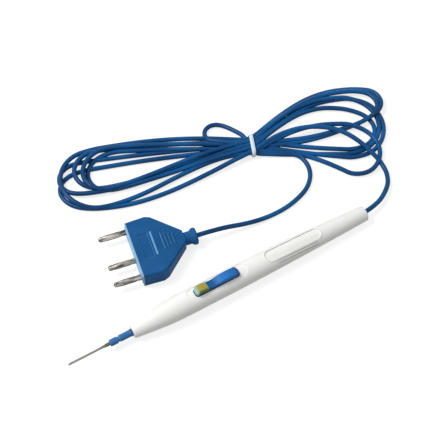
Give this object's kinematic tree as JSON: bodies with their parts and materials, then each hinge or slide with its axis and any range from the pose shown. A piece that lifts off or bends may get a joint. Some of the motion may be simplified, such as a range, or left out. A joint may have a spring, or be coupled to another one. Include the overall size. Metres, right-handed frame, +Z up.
{
  "type": "electrosurgical pencil",
  "caption": "Hand-held surgical pencil with a blade electrode, a rocker switch and a blue cord, tied in a hank, that ends in a flat three-pin plug.",
  "frame": {"origin": "on the surface that the pencil lies on, under the middle of the pencil's length, from the blade's tip to the cord bush", "axes": "+X along the pencil from the blade's tip to the cord end, +Y level across it towards the plug and hank, +Z up, with the rocker switch on top"},
  "size_m": [0.2782, 0.1506, 0.0184],
  "materials": {
    "shell_white": "smooth satin white",
    "rocker_blue": "smooth deep blue",
    "insert_yellow": "satin yellow",
    "hub_blue": "satin blue",
    "blade_steel": "satin steel",
    "contact_brass": "plain turned",
    "spring_steel": "bright sheet",
    "pin_metal": "bright plated",
    "soft_grey": "soft matte",
    "strip_green": "lacquered board",
    "wire_yellow": "smooth insulation",
    "wire_blue": "smooth insulation",
    "wire_white": "smooth insulation",
    "clamp_steel": "plain crimped",
    "bush_white": "soft satin",
    "plug_blue": "satin blue",
    "carrier_blue": "satin light blue",
    "cord_blue": "satin blue jacket",
    "tie_white": "smooth white"
  },
  "bodies": {
    "handle": {"lower_shell": "shell_white", "upper_shell": "shell_white", "nose_seal": "soft_grey", "contact_tube": "contact_brass", "contact_spring": "spring_steel", "circuit_strip": "strip_green", "cut_dome": "spring_steel", "coag_dome": "spring_steel", "dome_cover": "soft_grey", "active_wire": "wire_white", "cut_wire": "wire_yellow", "coag_wire": "wire_blue", "cord_clamp": "clamp_steel", "cord_bush": "bush_white", "plug_body": "plug_blue", "pin_carrier": "carrier_blue", "active_pin": "pin_metal", "cut_pin": "pin_metal", "coag_pin": "pin_metal", "active_pin_spring": "spring_steel", "cut_pin_spring": "spring_steel", "coag_pin_spring": "spring_steel", "handle_lead": "cord_blue", "plug_lead": "cord_blue", "cord_hank": "cord_blue", "twist_tie": "tie_white"},
    "rocker": {"rocker_switch": "rocker_blue", "cut_insert": "insert_yellow"},
    "electrode": {"electrode_blade": "blade_steel", "electrode_hub": "hub_blue"}
  },
  "joints": [
    {"name": "rocker_pivot", "type": "hinge", "parent": "handle", "child": "rocker", "pos_m": [-0.0044, 0, 0.0121], "axis": [0, 1, 0], "range_deg": [-3.5, 3.5], "stiffness_Nm_per_rad": 0.15},
    {"name": "electrode_pull", "type": "slide", "parent": "handle", "child": "electrode", "axis": [-1, 0, 0], "range_m": [0, 0.026]}
  ]
}
